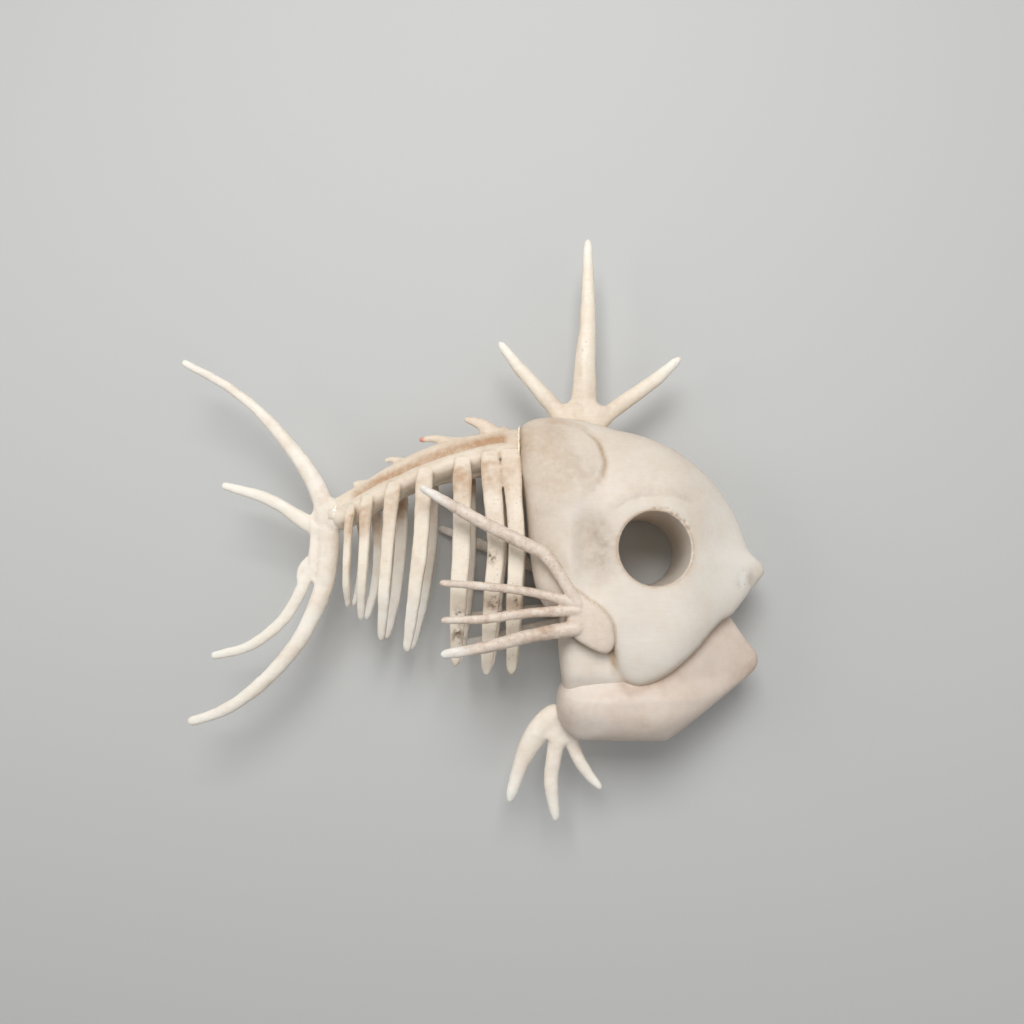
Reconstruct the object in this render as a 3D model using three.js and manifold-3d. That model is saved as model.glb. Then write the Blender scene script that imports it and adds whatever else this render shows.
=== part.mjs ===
// A toy fish skeleton moulded in ivory plastic: a deep, flat-sided skull with a round eye hole and a
// jutting lower jaw, a short backbone with hooked spines, seven strap ribs on each side, and fins of
// long bare rays. It lies on its left side. Millimetres, +Z up, +X to the snout and +Y to the fish's
// back.
//
// The fish is first modelled about a point low in its middle plane, with Z across it, positive to its
// right side. The last lines lean it onto its left cheek and set it down on the surface that it lies on.

import * as THREE from "three";
import { mergeVertices } from "three/addons/utils/BufferGeometryUtils.js";
import Module from "manifold-3d";

const wasm = await Module();
wasm.setup();

// --- Driving dimensions --------------------------------------------------------------------------

const GAP = 0.3; // clearance where two pieces meet
const CAP_STEP = 0.3; // where a bar's rounded end has its one ring, as a share of the end's length
const WELD = 1e-4; // points nearer than this are one
// How many rings along them and sides around them the bars have
const BAR_STEPS = 7;
const BAR_SIDES = 8;
const SLENDER_STEPS = 5;
const SLENDER_SIDES = 6;
const SPINE_STEPS = 10;
const SHORT_STEPS = 3;
const CRESCENT_STEPS = 16;

// A side outline is a list of stretches, anticlockwise. Each runs from the end of the last one: straight
// to a point, in a curve drawn towards a bend, or round an arc in degrees.
const LIP = [71.3, 6.4];
const CROWN = [6, 55];
const NAPE = [-6.7, 50.6];
const MOUTH_CORNER = [60.2, -9.2];
const GULLET = [7.6, -31.2];
const REAR_EDGE = [
  { bend: [-6.6, 44], to: [-6.2, 36] },
  { bend: [-4.6, 28], to: [-3.9, 19] },
  { bend: [-2.6, -7.4], to: [4, -8.4] },
];

// The flat-sided bodies of the head. A squareness of 2 makes a body oval in section, and a higher one
// flat-sided. `narrowing` takes a share off the half width along a direction, from one distance to
// another.
const CRANIUM = {
  outline: [
    { to: LIP },
    { bend: [70, 8.2], to: [68.4, 9.4] },
    { bend: [67, 10.7], to: [66.4, 13] },
    { arc: { centre: [17.9, 0.8], radius: 50.1, from: 14, to: 82 } },
    { bend: [16, 53.9], to: CROWN },
    { bend: [-3.6, 55.2], to: NAPE },
    ...REAR_EDGE,
    { bend: [19.5, -9], to: [21.7, -20] },
    { bend: [23.4, -31.3], to: [30, -31.3] },
    { bend: [38, -30.4], to: [49.5, -18.4] },
    { bend: [55.6, -10.6], to: MOUTH_CORNER },
    { to: [70.3, 2.2] },
    { bend: [72.7, 4.6], to: LIP },
  ],
  centre: [27, 8],
  halfWidth: 20,
  narrowing: [
    { towards: [1, 0], from: 38, to: 72, share: 0.6 },
    { towards: [0, 1], from: 22, to: 58, share: 0.3 },
    { towards: [-1, 0], from: -26, to: 6, share: 0.14 },
    { towards: [0, -1], from: 6, to: 34, share: 0.08 },
  ],
  squareness: 3,
  around: 44,
  across: 12,
};
// The narrower block behind the cheek plate, down to the jaw
const THROAT = {
  outline: [
    { to: [5.9, -18] },
    { bend: [6, -26], to: GULLET },
    { to: [30, -31.2] },
    { to: [42, -14] },
    { to: [30, 0] },
    { to: [10, 0] },
    { bend: [6.4, -4], to: [5.9, -18] },
  ],
  centre: [22, -16],
  halfWidth: 14.6,
  narrowing: [],
  squareness: 3.6,
  around: 16,
  across: 6,
};
// The upright pillar at the back of the head, with a round plate at its top
const PILLAR = {
  outline: [
    { to: NAPE },
    ...REAR_EDGE,
    { bend: [9.5, -7], to: [9.5, 2] },
    { to: [9.5, 21.8] },
    { arc: { centre: [5, 37.4], radius: 15.6, from: -63, to: 97 } },
    { bend: [-3.8, 53.6], to: NAPE },
  ],
  centre: [2, 27],
  halfWidth: 17.6,
  narrowing: [],
  squareness: 3,
  around: 24,
  across: 6,
};
const EYE_CENTRE = [34.8, 11];
const EYE_RADIUS = 11;
const EYE_SIDES = 28;
const BORE_LENGTH = 80; // of the cutter for the eye hole, right through the head
const LOWER_JAW = {
  outline: [
    { to: [59.6, -8.2] },
    { to: [24, -27] },
    { to: [7.6, -30.8] },
    { bend: [5, -34], to: [5.2, -39] },
    { bend: [6.2, -46.6], to: [12.5, -48.2] },
    { to: [39, -48.4] },
    { to: [65, -29.3] },
    { bend: [70.7, -25.4], to: [68.9, -21.3] },
    { to: [64.4, -15.3] },
    { to: [59.6, -8.2] },
  ],
  centre: [34, -34],
  halfWidth: 16.4,
  narrowing: [
    { towards: [1, 0], from: 34, to: 70, share: 0.62 },
    { towards: [0, -1], from: 38, to: 50, share: 0.14 },
  ],
  squareness: 3,
  around: 30,
  across: 8,
};

// Dorsal and pelvic fins, each a fan of three rays in the middle plane, given from root to tip, with a
// web that fillets them together at the root
const RAY_MAX_THICKNESS = 5.2;
const DORSAL_FIN = [
  { path: [[14.2, 48], [15.3, 73.8], [16.2, 87.9], [16.5, 116.7]], widths: [13, 9, 7.4, 6.2, 5.1, 4, 2],
    slim: 0.72 },
  { path: [[12.5, 50], [1.9, 62.2], [-7, 72.6], [-13.7, 81.4]], widths: [9.4, 6, 5, 4.2, 2.2], slim: 0.8 },
  { path: [[15, 50], [25.5, 58.5], [39.5, 68.7], [46.9, 75.4]], widths: [8, 5.4, 4.9, 4.4, 2], slim: 0.8 },
];
const PELVIC_FIN = [
  { path: [[8, -40], [0.2, -44.6], [-5.2, -54], [-10, -68.6]], widths: [9, 6.2, 4.6, 2.8], slim: 0.8 },
  { path: [[8, -41], [3.9, -52], [3, -62], [5, -75]], widths: [9, 5.2, 4.2, 2.6], slim: 0.8 },
  { path: [[8, -41], [10.4, -51], [14.3, -58.4], [19.4, -64.2]], widths: [9, 4.4, 3.9, 2], slim: 0.8 },
];
const FIN_WEB = { halfWidth: 3, narrowing: [], squareness: 3, around: 14, across: 4 };
const DORSAL_WEB = {
  ...FIN_WEB,
  outline: [
    { to: [4.5, 60] },
    { to: [8, 52] },
    { to: [22, 52] },
    { to: [25.5, 59.6] },
    { bend: [19.8, 57], to: [18.4, 62] },
    { to: [11, 62] },
    { bend: [9.6, 56.2], to: [4.5, 60] },
  ],
  centre: [14.6, 56.5],
};
const PELVIC_WEB = {
  ...FIN_WEB,
  outline: [
    { to: [-2, -48] },
    { bend: [1.4, -48.4], to: [1.8, -54] },
    { to: [6, -53.5] },
    { bend: [8.4, -48.6], to: [12.4, -51] },
    { to: [12, -44] },
    { to: [1, -42.6] },
    { to: [-2, -48] },
  ],
  centre: [5, -47],
};

// Backbone and ribs
const SPINE_TAIL = [-65.4, 22.6]; // the middle of the backbone where the tail plugs on
const SPINE_MIDDLE = [-38, 37.6];
const SPINE_HEAD = [-5, 44.3]; // where it enters the skull
const SPINE_HEIGHT = [11.4, 13.2, 15.4]; // from the tail to the head
const SPINE_HALF_WIDTH = [2.2, 2.9, 3.6]; // of the middle plate, between the two rows of ribs
const FLANK_DROP = [1.4, 2, 2.7]; // how far the flank's middle lies below the plate's
const FLANK_HEIGHT = [7.4, 8.4, 9.6];
const FLANK_HALF_WIDTH = [4.6, 6, 7.6];
const PEG_RADIUS = 3.6; // of the round peg that the tail plugs on
const PEG_LENGTH = 8;
const PEG_SIDES = 16;
const HOOK_TIP_WIDTH = 1.5;
const HOOK_THICKNESSES = [4.6, 3, HOOK_TIP_WIDTH];
const HOOKS = [
  { root: [-52, 31.5], bend: [-56.5, 33], tip: [-61.9, 33.6], width: 7 },
  { root: [-42, 38.5], bend: [-46.6, 41.2], tip: [-51.6, 41.2], width: 5.6 },
  { root: [-25, 45], bend: [-32.6, 47.8], tip: [-40, 48], width: 6.6 },
  { root: [-13.5, 48.5], bend: [-18.8, 53.2], tip: [-25, 54.9], width: 10 },
];
// Each rib hangs from its root on the flank, bulges to its belly and draws in to its tip.
const RIB_BELLY_Y = 13;
const RIB_BELLY_SPREAD = 4.6; // how far the belly stands out past the flank
const RIB_THICKNESS = 2.9;
const RIB_WIDTH_SHARES = [0.9, 1.06, 1, 0.88, 0.4]; // of its width, from root to tip
const RIB_THICKNESS_SHARES = [0.7, 1, 1, 0.85, 0.45];
const RIB_ROOT_RISE = 2.4; // how far above the flank's middle a rib starts
// Two places between: a share of the way from root to belly, or from belly to tip, and of the belly's spread
const RIB_SHOULDER = { share: 0.35, spread: 0.7 };
const RIB_WAIST = { share: 0.5, spread: 0.8 };
const RIBS = [
  { rootX: -61.2, bellyX: -61.2, tip: [-61.8, -7.4], width: 2.5, tipSpread: 3.4 },
  { rootX: -55.9, bellyX: -55.7, tip: [-57.5, -11.6], width: 3.4, tipSpread: 3.8 },
  { rootX: -47.1, bellyX: -48.1, tip: [-50.8, -18], width: 4, tipSpread: 4.4 },
  { rootX: -36.8, bellyX: -37.6, tip: [-42.4, -21.4], width: 4.7, tipSpread: 5 },
  { rootX: -24.8, bellyX: -24.5, tip: [-26.7, -25.6], width: 5.6, tipSpread: 6 },
  { rootX: -16.2, bellyX: -13.7, tip: [-16.9, -28.2], width: 5.5, tipSpread: 6.8 },
  { rootX: -9.5, bellyX: -7.2, tip: [-9, -28], width: 5.2, tipSpread: 7.5 },
];

// Tail fin: one long crescent with a socket for the backbone's peg, and two short rays behind it on a
// thin web
const TAIL_CRESCENT = {
  path: [[-121.7, 75.6], [-104.4, 65.9], [-92.5, 56], [-81.8, 43.9], [-74.3, 32.6], [-70, 19], [-69.8, 8],
    [-71, -0.7], [-74.2, -9.5], [-79.5, -19.4], [-90.8, -32.2], [-102.1, -40.4], [-114.5, -44.7]],
  widths: [2.6, 3.1, 3.5, 4.4, 5.5, 6.6, 7, 6.6, 5.8, 5.2, 4.8, 4.1, 2.8],
  slim: 0.72,
};
const TAIL_SHORT_RAYS = [
  { path: [[-71, 17], [-77.4, 20.6], [-90.5, 28.3], [-106.4, 33.2]], widths: [7, 4.6, 4, 2.6], slim: 0.66 },
  { path: [[-73, 12], [-76.2, 3.5], [-84, -11.2], [-95, -20], [-107.8, -23.5]],
    widths: [4, 4.2, 4, 3.6, 2.4], slim: 0.66 },
  { path: [[-74.5, 9], [-78.4, 5.2], [-79.3, 0.4]], widths: [4, 3, 2], slim: 0.66, steps: SHORT_STEPS },
];
const TAIL_SOCKET = {
  path: [[-75.5, 22.4], [-70.5, 22.8], [-65.6, 22.8], [-62.4, 23.6]],
  widths: [15, 13.4, 11.6, 9.6],
  thicknesses: [5.4, 6, 6.8, 6.4],
  steps: SHORT_STEPS,
};
const WEB_OUTLINE = [[-71, 27], [-75.8, 23.5], [-76, 9], [-78, 5], [-74, 0]];
const WEB_HALF_WIDTH = 1.2;

// Pectoral fins: four rays swept back from a lobe on the cheek. The top ray of the right fin stands higher.
const LOBE_CENTRE = [14.4, -10.6, 17.4];
const LOBE_HALF_SIZE = [9.8, 5.9, 3.2];
const LOBE_TURN = -41; // degrees, about the across axis
const LOBE_SIDES = 14;
const RAY_LEVEL = 19; // how far from the middle plane the rays spring
const PECTORAL_TOP_RAY = {
  right: [[12, -6.6], [6, 3], [1.4, 9.2], [-18.2, 19.3], [-36.4, 29.7]],
  left: [[11, -5.6], [5, 2.2], [-4, 7.3], [-18.6, 13.3], [-36, 20.3]],
};
const PECTORAL_TOP_WIDTHS = [3.4, 4, 4.1, 3.9, 2.4];
const PECTORAL_RAYS = [
  { path: [[12, -5.8], [-3, -2.1], [-18.2, -0.3], [-30.2, 0.6]], widths: [3.4, 2.8, 2.7, 2.1] },
  { path: [[13, -7.4], [-3, -8.4], [-18.2, -10.3], [-29.6, -10.6]], widths: [3.6, 3, 2.9, 2.1] },
  { path: [[13, -12.4], [-3, -15.2], [-18.1, -18.9], [-29.6, -20.8]], widths: [5, 4.2, 3.7, 2.8] },
];
const RAY_FLARE = 1.6; // how much further out the tips stand than the roots
const RAY_SLIMNESS = 0.9; // thickness as a share of width

// How the fish lies: its left cheek and the top ray of its left pectoral fin both touch the surface below
const ROLL = -0.65; // degrees, about its length
const PITCH = 2.79; // degrees, lifting the tail
const CUTTER_SIZE = 400; // of the block that halves the rib cage, well past the fish

// --- Ways of making the shapes -------------------------------------------------------------------

// One closed solid from a geometry, with the points that its seams share made one.
function toSolid(geometry) {
  geometry.deleteAttribute("normal");
  geometry.deleteAttribute("uv");
  const merged = mergeVertices(geometry, WELD);
  return new wasm.Manifold(
    new wasm.Mesh({
      numProp: 3,
      vertProperties: merged.attributes.position.array,
      triVerts: new Uint32Array(merged.index.array),
    }),
  );
}

function joined(solids) {
  return solids.reduce((whole, next) => whole.add(next));
}

function curveThrough(path) {
  const points = path.map(([x, y, z = 0]) => new THREE.Vector3(x, y, z));
  return new THREE.CatmullRomCurve3(points, false, "centripetal");
}

// The value at a fraction of the way along a list of evenly spaced values.
function along(values, fraction) {
  const spot = THREE.MathUtils.clamp(fraction, 0, 1) * (values.length - 1);
  const before = Math.min(Math.floor(spot), values.length - 2);
  return THREE.MathUtils.lerp(values[before], values[before + 1], spot - before);
}

// A rounded bar bent along a path, with its full width and its thickness given along its length. The
// width lies across the path in the plane square to `facing`, and the thickness along `facing`. Both
// ends are rounded.
function bar({ path, widths, thicknesses, facing = [0, 0, 1], steps = BAR_STEPS, sides = BAR_SIDES }) {
  const curve = curveThrough(path);
  const length = curve.getLength();
  const [startCap, endCap] = [widths[0], widths[widths.length - 1]].map((width) => width / 2 / length);
  const capRadius = Math.sqrt(1 - (1 - CAP_STEP) ** 2);
  const profile = [new THREE.Vector2(0, 0), new THREE.Vector2(capRadius, startCap * CAP_STEP)];
  for (let step = 0; step <= steps; step++) {
    profile.push(new THREE.Vector2(1, THREE.MathUtils.lerp(startCap, 1 - endCap, step / steps)));
  }
  profile.push(new THREE.Vector2(capRadius, 1 - endCap * CAP_STEP), new THREE.Vector2(0, 1));

  const geometry = new THREE.LatheGeometry(profile, sides, Math.PI / 2);
  const position = geometry.getAttribute("position");
  const outward = new THREE.Vector3(...facing);
  for (let i = 0; i < position.count; i++) {
    const fraction = THREE.MathUtils.clamp(position.getY(i), 0, 1);
    const tangent = curve.getTangentAt(fraction);
    const thin = outward.clone().addScaledVector(tangent, -outward.dot(tangent)).normalize();
    const wide = new THREE.Vector3().crossVectors(tangent, thin);
    const spot = curve.getPointAt(fraction);
    spot.addScaledVector(wide, (position.getX(i) * along(widths, fraction)) / 2);
    spot.addScaledVector(thin, (position.getZ(i) * along(thicknesses, fraction)) / 2);
    position.setXYZ(i, spot.x, spot.y, spot.z);
  }
  return toSolid(geometry);
}

// A fin ray: a bar whose thickness is a share of its width.
function ray({ path, widths, slim, steps }) {
  const thicknesses = widths.map((width) => Math.min(width * slim, RAY_MAX_THICKNESS));
  return bar({ path, widths, thicknesses, steps });
}

function outlineOf(stretches) {
  const outline = new THREE.Shape();
  outline.moveTo(...stretches[0].to);
  for (const { to, bend, arc } of stretches.slice(1)) {
    if (arc) {
      const [start, end] = [arc.from, arc.to].map(THREE.MathUtils.degToRad);
      outline.absarc(...arc.centre, arc.radius, start, end, false);
    } else if (bend) {
      outline.quadraticCurveTo(...bend, ...to);
    } else {
      outline.lineTo(...to);
    }
  }
  return outline;
}

function halfWidthAt({ halfWidth, narrowing }, { x, y }) {
  return narrowing.reduce((width, { towards, from, to, share }) => {
    const distance = x * towards[0] + y * towards[1];
    return width * (1 - share * THREE.MathUtils.smoothstep(distance, from, to));
  }, halfWidth);
}

// A body with a given side outline and rounded edges: a sphere with its poles on the Z axis, spread to
// the outline. `grow` makes it larger all round.
function inflated(body, grow) {
  const { outline, centre, squareness, around, across } = body;
  const rim = outlineOf(outline).getSpacedPoints(around).slice(0, around);
  const core = new THREE.Vector2(...centre);
  const edge = rim.map((point, i) => {
    const next = rim[(i + 1) % around];
    const last = rim[(i + around - 1) % around];
    const normal = new THREE.Vector2(next.y - last.y, last.x - next.x).normalize();
    return point.clone().addScaledVector(normal, grow);
  });
  const geometry = new THREE.SphereGeometry(1, around, across);
  const position = geometry.getAttribute("position");
  for (let row = 0; row <= across; row++) {
    const angle = (Math.PI * row) / across;
    const reach = row % across ? Math.sin(angle) ** (2 / squareness) : 0;
    const level = Math.sign(Math.cos(angle)) * Math.abs(Math.cos(angle)) ** (2 / squareness);
    for (let column = 0; column <= around; column++) {
      const spot = core.clone().lerp(edge[column % around], reach);
      position.setXYZ(row * (around + 1) + column, spot.x, spot.y, level * (halfWidthAt(body, spot) + grow));
    }
  }
  return toSolid(geometry);
}

// --- Head ----------------------------------------------------------------------------------------

function skull(grow = 0) {
  return joined([CRANIUM, THROAT, PILLAR].map((body) => inflated(body, grow)));
}

function lowerJaw(grow = 0) {
  return inflated(LOWER_JAW, grow);
}

function boreThroughEye() {
  const bore = new THREE.CylinderGeometry(EYE_RADIUS, EYE_RADIUS, BORE_LENGTH, EYE_SIDES);
  bore.rotateX(Math.PI / 2);
  bore.translate(...EYE_CENTRE, 0);
  return toSolid(bore);
}

// --- Dorsal and pelvic fins ----------------------------------------------------------------------

function fan(rays, web) {
  return joined([...rays.map(ray), inflated(web, 0)]);
}

// --- Backbone and ribs ---------------------------------------------------------------------------

const SPINE_PATH = [SPINE_TAIL, SPINE_MIDDLE, SPINE_HEAD];
const FLANK_PATH = SPINE_PATH.map(([x, y], i) => [x, y - FLANK_DROP[i]]);

function backbone(grow = 0) {
  const plate = bar({
    path: SPINE_PATH,
    widths: SPINE_HEIGHT.map((height) => height + 2 * grow),
    thicknesses: SPINE_HALF_WIDTH.map((half) => 2 * (half + grow)),
    steps: SPINE_STEPS,
  });
  const hooks = HOOKS.map(({ root, bend, tip, width }) => bar({
    path: [root, bend, tip],
    widths: [width, (width + HOOK_TIP_WIDTH) / 2, HOOK_TIP_WIDTH],
    thicknesses: HOOK_THICKNESSES,
    steps: SHORT_STEPS,
    sides: SLENDER_SIDES,
  }));
  const peg = new THREE.CylinderGeometry(PEG_RADIUS + grow, PEG_RADIUS + grow, PEG_LENGTH, PEG_SIDES);
  peg.rotateZ(Math.PI / 2);
  peg.translate(SPINE_TAIL[0], SPINE_TAIL[1], 0);
  return joined([plate, ...hooks, toSolid(peg)]);
}

// The points that a rib runs through, from its root on the flank, over its belly, to its tip.
function ribPath({ rootX, bellyX, tip, tipSpread }, side) {
  const share = (rootX - SPINE_TAIL[0]) / (SPINE_HEAD[0] - SPINE_TAIL[0]);
  const rootY = curveThrough(FLANK_PATH).getPointAt(share).y + RIB_ROOT_RISE;
  const level = along(FLANK_HALF_WIDTH, share) - RIB_THICKNESS / 2;
  const root = new THREE.Vector3(rootX, rootY, level);
  const belly = new THREE.Vector3(bellyX, RIB_BELLY_Y, level + RIB_BELLY_SPREAD);
  const end = new THREE.Vector3(...tip, tipSpread);
  const shoulder = root.clone().lerp(belly, RIB_SHOULDER.share);
  shoulder.setZ(level + RIB_BELLY_SPREAD * RIB_SHOULDER.spread);
  const waist = belly.clone().lerp(end, RIB_WAIST.share);
  waist.setZ(level + RIB_BELLY_SPREAD * RIB_WAIST.spread);
  return [root, shoulder, belly, waist, end].map(({ x, y, z }) => [x, y, side * z]);
}

// One side of the rib cage, on its half of the backbone's flank. `side` is 1 for the right and -1 for
// the left.
function ribCage(side) {
  const flank = bar({
    path: FLANK_PATH,
    widths: FLANK_HEIGHT,
    thicknesses: FLANK_HALF_WIDTH.map((half) => half * 2),
    steps: SPINE_STEPS,
  });
  const ribs = RIBS.map((rib) => bar({
    path: ribPath(rib, side),
    widths: RIB_WIDTH_SHARES.map((share) => share * rib.width),
    thicknesses: RIB_THICKNESS_SHARES.map((share) => share * RIB_THICKNESS),
    facing: [0, 0, side],
    steps: SLENDER_STEPS,
    sides: SLENDER_SIDES,
  }));
  return joined([flank, ...ribs]);
}

// --- Tail fin ------------------------------------------------------------------------------------

function tailFin() {
  const outline = new THREE.Shape(WEB_OUTLINE.map(([x, y]) => new THREE.Vector2(x, y)));
  const web = new THREE.ExtrudeGeometry(outline, { depth: WEB_HALF_WIDTH * 2, bevelEnabled: false });
  web.translate(0, 0, -WEB_HALF_WIDTH);
  const crescent = ray({ ...TAIL_CRESCENT, steps: CRESCENT_STEPS });
  return joined([crescent, ...TAIL_SHORT_RAYS.map(ray), bar(TAIL_SOCKET), toSolid(web)]);
}

// --- Pectoral fins -------------------------------------------------------------------------------

function pectoralFin(side) {
  const topPath = side > 0 ? PECTORAL_TOP_RAY.right : PECTORAL_TOP_RAY.left;
  const lobe = new THREE.SphereGeometry(1, LOBE_SIDES, LOBE_SIDES / 2);
  lobe.scale(...LOBE_HALF_SIZE);
  lobe.rotateZ(THREE.MathUtils.degToRad(LOBE_TURN));
  lobe.translate(LOBE_CENTRE[0], LOBE_CENTRE[1], side * LOBE_CENTRE[2]);
  const shapes = [{ path: topPath, widths: PECTORAL_TOP_WIDTHS }, ...PECTORAL_RAYS];
  const rays = shapes.map(({ path, widths }) => bar({
    path: path.map(([x, y], i) => [x, y, side * (RAY_LEVEL + (RAY_FLARE * i) / (path.length - 1))]),
    widths,
    thicknesses: widths.map((width) => width * RAY_SLIMNESS),
    facing: [0, 0, side],
    steps: SLENDER_STEPS,
    sides: SLENDER_SIDES,
  }));
  return joined([toSolid(lobe), ...rays]);
}

// --- The whole fish ------------------------------------------------------------------------------

const IVORY = "#d9cfbd";
const PALE_IVORY = "#ded8ca";
const RUBBED_IVORY = "#cdbba9";
const ROUGHNESS = 0.55;

const fish = new THREE.Group();

function place(name, solid, colour) {
  const { vertProperties, triVerts } = solid.getMesh();
  const geometry = new THREE.BufferGeometry();
  geometry.setAttribute("position", new THREE.BufferAttribute(vertProperties, 3));
  geometry.setIndex(new THREE.BufferAttribute(triVerts, 1));
  geometry.computeVertexNormals();
  const plastic = new THREE.MeshStandardMaterial({ color: colour, roughness: ROUGHNESS, metalness: 0 });
  const mesh = new THREE.Mesh(geometry, plastic);
  mesh.name = name;
  fish.add(mesh);
}

// Everything on one side of the middle plane, less half the gap between the two halves.
function halfSpace(side) {
  const box = new THREE.BoxGeometry(CUTTER_SIZE, CUTTER_SIZE, CUTTER_SIZE);
  box.translate(0, 0, (side * (CUTTER_SIZE + GAP)) / 2);
  return toSolid(box);
}

const head = skull().subtract(boreThroughEye());
const headAndGap = skull(GAP);
const jawAndGap = lowerJaw(GAP);
const backboneAndGap = backbone(GAP);

place("skull", head, IVORY);
place("lower_jaw", lowerJaw().subtract(headAndGap), IVORY);
place("dorsal_fin", fan(DORSAL_FIN, DORSAL_WEB).subtract(headAndGap), IVORY);
place("pelvic_fin", fan(PELVIC_FIN, PELVIC_WEB).subtract(jawAndGap).subtract(headAndGap), PALE_IVORY);
place("backbone", backbone().subtract(headAndGap), IVORY);
for (const [name, side] of [["ribs_right", 1], ["ribs_left", -1]]) {
  const cage = ribCage(side).intersect(halfSpace(side));
  place(name, cage.subtract(backboneAndGap).subtract(headAndGap), IVORY);
}
place("tail_fin", tailFin().subtract(backboneAndGap), PALE_IVORY);
place("pectoral_fin_right", pectoralFin(1).subtract(headAndGap), RUBBED_IVORY);
place("pectoral_fin_left", pectoralFin(-1).subtract(headAndGap), RUBBED_IVORY);

fish.rotation.set(THREE.MathUtils.degToRad(ROLL), THREE.MathUtils.degToRad(PITCH), 0);
fish.updateMatrixWorld(true);
const extent = new THREE.Box3().setFromObject(fish, true);
const middle = extent.getCenter(new THREE.Vector3());
fish.position.set(-middle.x, -middle.y, -extent.min.z);

const part = new THREE.Group();
part.add(fish);

export default part;
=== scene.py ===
import math

import bmesh
import bpy
import numpy as np
from mathutils import Matrix, Vector, noise


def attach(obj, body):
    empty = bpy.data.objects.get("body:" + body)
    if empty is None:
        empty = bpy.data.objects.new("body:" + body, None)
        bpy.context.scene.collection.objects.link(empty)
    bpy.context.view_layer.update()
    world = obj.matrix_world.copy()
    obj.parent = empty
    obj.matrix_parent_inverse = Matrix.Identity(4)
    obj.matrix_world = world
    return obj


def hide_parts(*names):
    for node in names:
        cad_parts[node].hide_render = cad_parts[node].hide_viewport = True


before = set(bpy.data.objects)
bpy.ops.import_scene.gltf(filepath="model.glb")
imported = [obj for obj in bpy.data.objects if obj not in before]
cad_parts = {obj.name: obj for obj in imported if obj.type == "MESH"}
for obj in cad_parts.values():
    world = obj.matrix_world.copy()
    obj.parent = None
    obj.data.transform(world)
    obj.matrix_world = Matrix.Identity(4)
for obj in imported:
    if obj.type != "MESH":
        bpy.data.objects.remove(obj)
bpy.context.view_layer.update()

# --- Skull -------------------------------------------------------------------------------------------------
# The deep, flat-sided head of a toy fish skeleton, one hollow moulding in satin-matte ivory plastic. It has
# a raised hood over the nape, a cheek plate that overhangs the jaw, and a round bore for the eye. A tan
# stain was rubbed on and wiped off, so it stays in the hollows and along the edges. Shade is painted into
# the temple hollow and under the cheek plate's edge, and the bore's right wall is painted paler as if lit.

# Each piece is shaped in the fish's own frame, in millimetres, with x to the snout, y to the fish's back and
# z to its right side. This turn lays it on its left cheek.
fish_lies = (
    Matrix.Scale(0.001, 4)
    @ Matrix.Translation((25.2272, -20.8427, 21.4498))
    @ Matrix.Rotation(math.radians(-0.65), 4, "X")
    @ Matrix.Rotation(math.radians(2.79), 4, "Y")
)


def eased(value, start, end):
    """From 0 at start to 1 at end, with a soft beginning and a soft stop."""
    share = np.clip((value - start) / (end - start), 0, 1)
    return share * share * (3 - 2 * share)


def evenly(line, count, closed=False):
    """So many points, evenly spaced along a line of points."""
    line = np.array(line, float)
    if closed:
        line = np.vstack([line, line[:1]])
    run = np.concatenate([[0], np.cumsum(np.linalg.norm(np.diff(line, axis=0), axis=1))])
    stops = np.linspace(0, run[-1], count, endpoint=not closed)
    return np.stack([np.interp(stops, run, line[:, axis]) for axis in range(line.shape[1])], axis=1)


def side_outline(stretches, count):
    """Points round a side outline, anticlockwise. Each stretch is a point, a bend and an end, or an arc
    given by its centre, radius and two angles."""
    arc_steps, bend_steps = 32, 16
    line = [Vector(stretches[0])]
    for stretch in stretches[1:]:
        if len(stretch) == 4:
            centre, radius, first, last = stretch
            for step in range(arc_steps + 1):
                angle = math.radians(first + (last - first) * step / arc_steps)
                line.append(Vector(centre) + radius * Vector((math.cos(angle), math.sin(angle))))
        elif isinstance(stretch[0], tuple):
            start, bend, end = line[-1], Vector(stretch[0]), Vector(stretch[1])
            for step in range(1, bend_steps + 1):
                share = step / bend_steps
                line.append(start * (1 - share) ** 2 + bend * 2 * share * (1 - share) + end * share**2)
        else:
            line.append(Vector(stretch))
    return evenly(line, count, closed=True)


def narrowed(half_width, x, y, shares):
    """A half width with a share taken off it along each direction, from one distance to another."""
    for across, up, start, end, share in shares:
        half_width = half_width * (1 - share * eased(x * across + y * up, start, end))
    return half_width


def flat_sided(shape, stretches, middle, half_width, squareness, level=0, around=144, across=36):
    """A body with a given side outline, flat sides and rounded edges, spread from a sphere with its poles on
    z. The small turns of the outline fade out inward. Half width and squareness may change over the side: 2
    is oval in section, and more is squarer."""
    rim = side_outline(stretches, around)
    first, last = -around // 14, around // 14
    calm = np.mean([np.roll(rim, shift, axis=0) for shift in range(first, last + 1)], axis=0)
    made = bmesh.ops.create_uvsphere(shape, u_segments=around, v_segments=across, radius=1)
    for vert in made["verts"]:
        x, y, z = vert.co
        place = round(math.atan2(y, x) / math.tau * around) % around
        square = squareness(*calm[place]) if callable(squareness) else squareness
        reach = math.sqrt(max(0, 1 - z * z))
        edge = calm[place] + (rim[place] - calm[place]) * reach**5
        spot = np.array(middle) * (1 - reach) + edge * reach
        half = half_width(*spot) if callable(half_width) else half_width
        vert.co = (*spot, level + math.copysign(max(0, 1 - reach**square) ** (1 / square), z) * half)


def add_object(name, data):
    made = bpy.data.objects.new(name, data)
    bpy.context.scene.collection.objects.link(made)
    return made


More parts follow.
